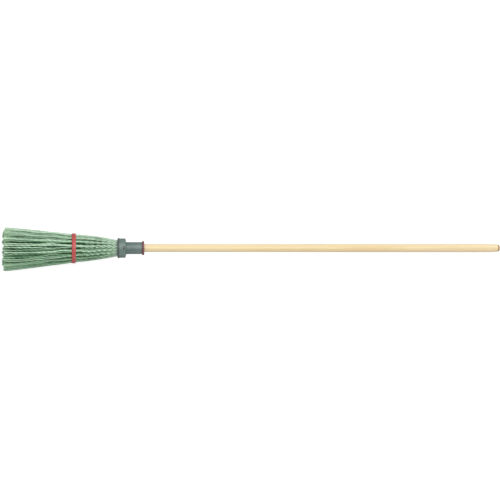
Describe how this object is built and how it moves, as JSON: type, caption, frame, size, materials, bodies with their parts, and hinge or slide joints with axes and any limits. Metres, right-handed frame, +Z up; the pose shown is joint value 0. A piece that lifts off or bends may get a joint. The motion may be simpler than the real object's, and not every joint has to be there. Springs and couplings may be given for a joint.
{
  "type": "round bristle broom",
  "caption": "Round street broom lying down: a flaring bundle of crimped green plastic bristles with a red tie band, a grey collar and socket neck, and a turned wooden pole in a split sleeve.",
  "frame": {"origin": "centre of the broom's box on the ground it lies on", "axes": "+X from the bristle tips to the pole's far end, +Z up; the broom's own axis leans down by 2.04 degrees towards +X, because the tips and the pole's end both rest on the ground"},
  "size_m": [1.494, 0.1314, 0.1287],
  "materials": {
    "bristle_green": "crimped filament, satin",
    "grey_plastic": "moulded, fine grain",
    "inner_plastic": "moulded, matt",
    "band_red": "moulded, satin",
    "sleeve_red": "moulded, satin",
    "pole_wood": "sanded, clear sealed",
    "screw_steel": "zinc plated"
  },
  "bodies": {
    "head": {"bristle_tuft_01": "bristle_green", "bristle_tuft_02": "bristle_green", "bristle_tuft_03": "bristle_green", "bristle_tuft_04": "bristle_green", "bristle_tuft_05": "bristle_green", "bristle_tuft_06": "bristle_green", "bristle_tuft_07": "bristle_green", "bristle_tuft_08": "bristle_green", "bristle_tuft_09": "bristle_green", "bristle_tuft_10": "bristle_green", "bristle_tuft_11": "bristle_green", "bristle_tuft_12": "bristle_green", "bristle_tuft_13": "bristle_green", "bristle_tuft_14": "bristle_green", "bristle_tuft_15": "bristle_green", "bristle_tuft_16": "bristle_green", "bristle_tuft_17": "bristle_green", "bristle_tuft_18": "bristle_green", "bristle_tuft_19": "bristle_green", "bristle_tuft_20": "bristle_green", "bristle_tuft_21": "bristle_green", "bristle_tuft_22": "bristle_green", "bristle_tuft_23": "bristle_green", "bristle_tuft_24": "bristle_green", "bristle_tuft_25": "bristle_green", "bristle_tuft_26": "bristle_green", "bristle_tuft_27": "bristle_green", "bristle_tuft_28": "bristle_green", "bristle_tuft_29": "bristle_green", "bristle_tuft_30": "bristle_green", "bristle_tuft_31": "bristle_green", "bristle_tuft_32": "bristle_green", "bristle_tuft_33": "bristle_green", "bristle_tuft_34": "bristle_green", "bristle_tuft_35": "bristle_green", "bristle_tuft_36": "bristle_green", "tuft_plate": "inner_plastic", "retainer_disc": "inner_plastic", "bristle_collar": "grey_plastic", "socket_neck": "grey_plastic", "grip_sleeve": "sleeve_red", "centre_screw": "screw_steel", "collar_screw_lower": "screw_steel", "collar_screw_upper": "screw_steel"},
    "band": {"tie_band": "band_red"},
    "pole": {"handle_pole": "pole_wood"}
  },
  "joints": [
    {"name": "band_slide", "type": "slide", "parent": "head", "child": "band", "axis": [0.9994, 0, -0.0357], "range_m": [0, 0.12]},
    {"name": "handle_pull", "type": "slide", "parent": "head", "child": "pole", "axis": [0.9994, 0, -0.0357], "range_m": [0, 0.05]}
  ]
}
